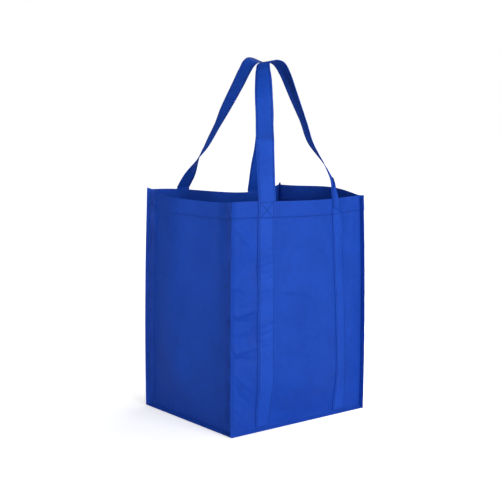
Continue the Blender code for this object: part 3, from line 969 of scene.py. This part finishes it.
def boardMaterial():
    # Black moulded sheet with a fine leather grain
    made, tree, shader = newMaterial("boardPlastic")
    place = addNode(tree, "TexCoord").outputs["Object"]
    grain = addNode(tree, "TexVoronoi", {"Vector": place, "Scale": 700})
    scuff = addNode(tree, "TexNoise", {"Vector": place, "Scale": 45, "Detail": 6}).outputs[0]
    colour = addNode(tree, "Mix", {"Factor": scuff, "A": (0.012, 0.013, 0.016, 1),
                                   "B": (0.030, 0.031, 0.034, 1)}, data_type="RGBA")
    rough = addNode(tree, "MapRange", {"Value": scuff, "To Min": 0.42, "To Max": 0.68})
    bump = addNode(tree, "Bump", {"Distance": 0.0002, "Strength": 0.6, "Height": grain.outputs["Distance"]})
    give(tree, shader, {"Base Color": colour.outputs["Result"], "Roughness": rough.outputs[0],
                        "Normal": bump.outputs["Normal"]})
    return made


# The loose base board
boardCut = {"radius": 0.012, "edge": 0.0004}


def makeBoard():
    low, high = (np.array(corner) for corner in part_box("base_board"))
    size, centre = high - low, (high + low) / 2
    outline = []
    for signX, signY, start in ((1, 1, 0), (-1, 1, 90), (-1, -1, 180), (1, -1, 270)):
        for k in range(9):
            angle = math.radians(start + k * 90 / 8)
            x = signX * (size[0] / 2 - boardCut["radius"]) + boardCut["radius"] * math.cos(angle)
            y = signY * (size[1] / 2 - boardCut["radius"]) + boardCut["radius"] * math.sin(angle)
            outline.append((x, y))
    outline = np.array(outline)
    count = len(outline)
    edge, half = boardCut["edge"], size[2] / 2
    rings = []
    for inset, z in ((edge, -half), (edge * 0.3, -half + edge * 0.3), (0, -half + edge),
                     (0, half - edge), (edge * 0.3, half - edge * 0.3), (edge, half)):
        scale = 1 - inset / np.abs(outline).max(0)
        ring = outline * scale
        rings.append(np.column_stack([ring, np.full(count, z)]))
    places = np.concatenate(rings) + centre
    faces = []
    for r in range(len(rings) - 1):
        for c in range(count):
            d = (c + 1) % count
            faces.append((r * count + c, r * count + d, (r + 1) * count + d, (r + 1) * count + c))
    faces.append(tuple(range(count))[::-1])
    faces.append(tuple((len(rings) - 1) * count + c for c in range(count)))
    made = meshObject("stiffenerBoard", places, faces)
    made.data.set_sharp_from_angle(angle=math.radians(50))
    return made


# The bag put together
def settle(piece, look, nodes=()):
    piece.data.materials.clear()
    piece.data.materials.append(look)
    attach(piece, "root")
    if nodes:
        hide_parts(*nodes)


wallCloth, strapCloth = clothMaterial(wallLook), clothMaterial(strapLook)
thread, boardPlastic = threadMaterial(), boardMaterial()

for node in walls:
    piece = makeWall(node)
    settle(piece, wallCloth, [node])
print("walls made")

baseCloth = makeBase()
settle(baseCloth, wallCloth, ["bottom_panel"])
board = makeBoard()
settle(board, boardPlastic, ["base_board"])

straps = {}
for node in loops:
    straps[node] = makeStrap(node)
    settle(straps[node]["piece"], strapCloth, [node])
print("straps made")

hemStitching = stitchObject("hemStitching", hemRows())
cornerStitching = stitchObject("cornerStitching", cornerRows())
baseStitching = stitchObject("baseStitching", baseRows())
strapStitching = stitchObject("strapStitching", [row for node, strap in straps.items()
                                                 for row in strapRows(strap) + insideRows(strap, node)])
for piece in (hemStitching, cornerStitching, baseStitching, strapStitching):
    settle(piece, thread)
print("stitches made")

# The studio
studio = {
    "target": (-0.0107, 0.0, 0.3162), "azimuth": 38.06, "elevation": 8.16, "distance": 2.2686, "lens": 83.74,
    "world": 0.11,
    # name, place, aim height, size, watts, spread in degrees
    "lights": [
        ("keyLight", (0.1, -2.1, 2.4), 0.35, 1.0, 29, 180),
        ("lowLight", (-0.45, -2.35, 0.62), 0.45, 0.6, 28.5, 180),
        ("sideLight", (-1.8, 0.1, 0.46), 0.38, 0.7, 1.15, 42),
        ("fillLight", (1.5, -1.9, 0.6), 0.35, 1.0, 9, 180),
        ("topLight", (1.3, 0.5, 2.2), 0.0, 2.0, 16, 180)],
    # Painted light, seen only by the camera: the paper glows this much by the bag's left side and this much
    # away from it, so far off it is white whatever shadows fall there
    "glow": {"middle": (-0.20, 0.0, 0.0), "near": 0.10, "far": 0.40, "least": 0.55, "most": 1.0},
}


def makeFloor():
    floor = meshObject("studioFloor", [(-9, -9, 0), (9, -9, 0), (9, 9, 0), (-9, 9, 0)], [(0, 1, 2, 3)])
    look, tree, shader = newMaterial("studioPaper")
    shape = studio["glow"]
    place = addNode(tree, "TexCoord").outputs["Object"]
    distance = addNode(tree, "VectorMath", {0: place, 1: shape["middle"]}, operation="DISTANCE")
    glow = addNode(tree, "MapRange", {"Value": distance.outputs["Value"], "From Min": shape["near"],
                                      "From Max": shape["far"], "To Min": shape["least"],
                                      "To Max": shape["most"]}, interpolation_type="SMOOTHSTEP")
    path = addNode(tree, "LightPath")
    # Painted light: a glow on the paper that only the camera sees
    seen = mathNode(tree, "MULTIPLY", glow.outputs[0], path.outputs["Is Camera Ray"])
    give(tree, shader, {"Base Color": (0.88, 0.88, 0.88, 1), "Roughness": 0.9,
                        "Emission Color": (1, 1, 1, 1), "Emission Strength": seen})
    floor.data.materials.append(look)


def makeStudio():
    scene = bpy.context.scene
    azimuth, elevation = math.radians(studio["azimuth"]), math.radians(studio["elevation"])
    target = Vector(studio["target"])
    away = Vector((-math.sin(azimuth) * math.cos(elevation), -math.cos(azimuth) * math.cos(elevation),
                   math.sin(elevation)))
    lens = bpy.data.cameras.new("photoCamera")
    lens.lens, lens.sensor_width = studio["lens"], 36
    camera = bpy.data.objects.new("photoCamera", lens)
    camera.location = target + away * studio["distance"]
    camera.rotation_euler = (-away).to_track_quat("-Z", "Y").to_euler()
    scene.collection.objects.link(camera)
    scene.camera = camera
    for name, place, aim, size, power, spread in studio["lights"]:
        lamp = bpy.data.lights.new(name, "AREA")
        lamp.size, lamp.energy, lamp.spread = size, power, math.radians(spread)
        light = bpy.data.objects.new(name, lamp)
        light.location = place
        light.rotation_euler = (Vector((0, 0, aim)) - Vector(place)).to_track_quat("-Z", "Y").to_euler()
        scene.collection.objects.link(light)
    world = bpy.data.worlds.new("studioWorld")
    world.use_nodes = True
    tree = world.node_tree
    # A soft surround for the bag, plain white to the camera
    seen = addNode(tree, "LightPath").outputs["Is Camera Ray"]
    strength = addNode(tree, "MapRange", {"Value": seen, "To Min": studio["world"], "To Max": 1.0})
    give(tree, tree.nodes["Background"], {"Color": (1, 1, 1, 1), "Strength": strength.outputs[0]})
    scene.world = world
    scene.view_settings.view_transform = "Standard"


makeFloor()
makeStudio()
print("studio made")
